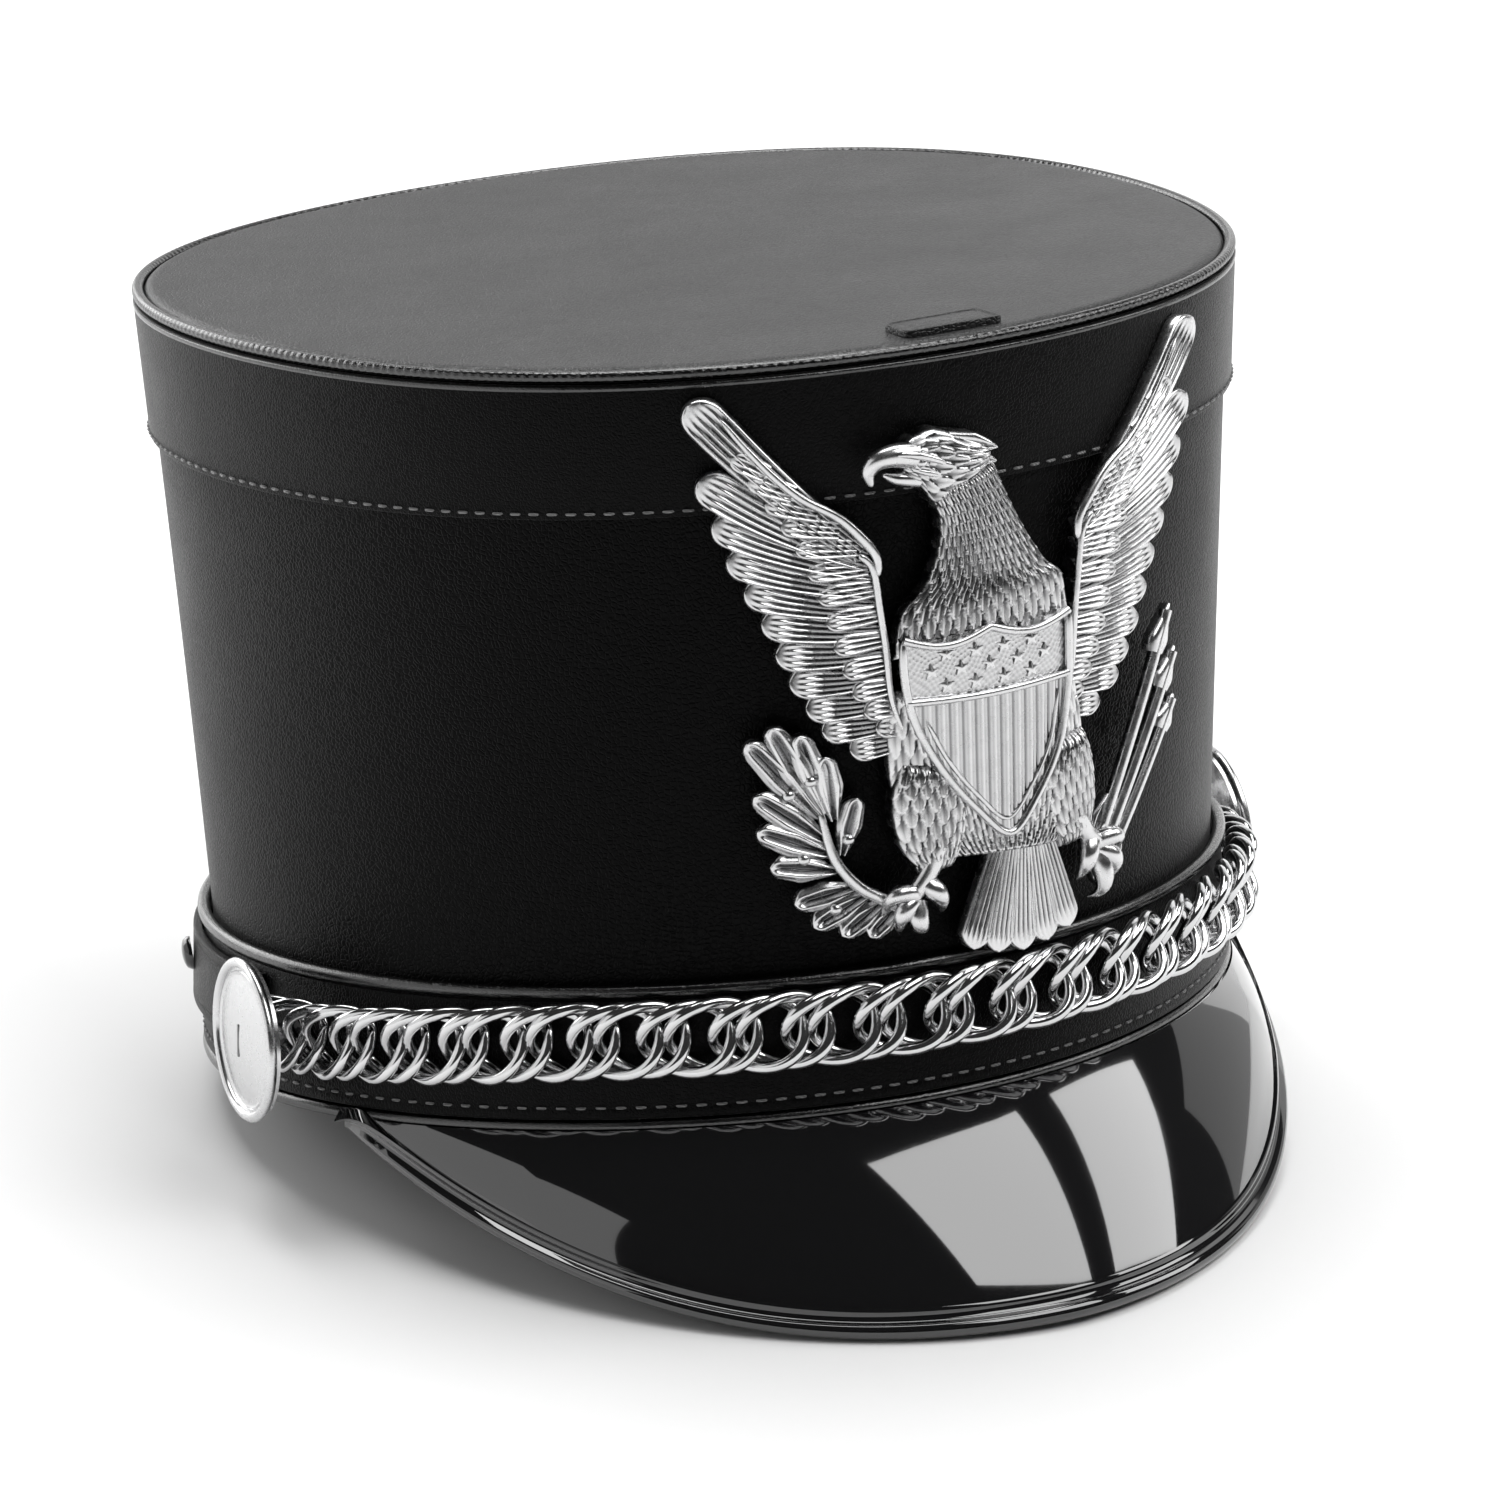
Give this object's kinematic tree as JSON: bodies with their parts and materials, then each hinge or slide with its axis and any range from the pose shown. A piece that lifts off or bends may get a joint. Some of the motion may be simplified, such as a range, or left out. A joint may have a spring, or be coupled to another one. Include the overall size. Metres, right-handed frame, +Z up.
{
  "type": "shako hat",
  "caption": "Tall oval black leather shako with a peak, a chrome chain on side buttons, a chin strap stowed behind and a chrome eagle badge in front.",
  "frame": {"origin": "middle of the footprint, on the surface that the hat stands on", "axes": "+Z up, -Y to the front where the badge and the peak are, +X to the right of someone who faces the badge"},
  "size_m": [0.2044, 0.2314, 0.1623],
  "materials": {
    "wall_leather": "black, fine grain, soft sheen",
    "top_leather": "black, fine grain, soft sheen",
    "band_leather": "black, fine grain, semi-gloss, stitched",
    "welt_leather": "black, smooth, glossy",
    "peak_patent": "black patent, mirror gloss",
    "chain_chrome": "bright polish",
    "badge_chrome": "bright, cast relief, darker in the recesses",
    "stud_black": "black gloss enamel"
  },
  "bodies": {
    "root": {"crown_wall": "wall_leather", "crown_top": "top_leather", "plume_flap": "top_leather", "top_band": "band_leather", "headband": "band_leather", "chin_strap": "band_leather", "top_welt": "welt_leather", "headband_welt": "welt_leather", "rim_binding": "welt_leather", "peak": "peak_patent", "peak_binding": "peak_patent", "chain": "chain_chrome", "side_button_left": "badge_chrome", "side_button_right": "badge_chrome", "eagle_badge": "badge_chrome", "strap_stud_left": "stud_black", "strap_stud_right": "stud_black"}
  },
  "joints": []
}
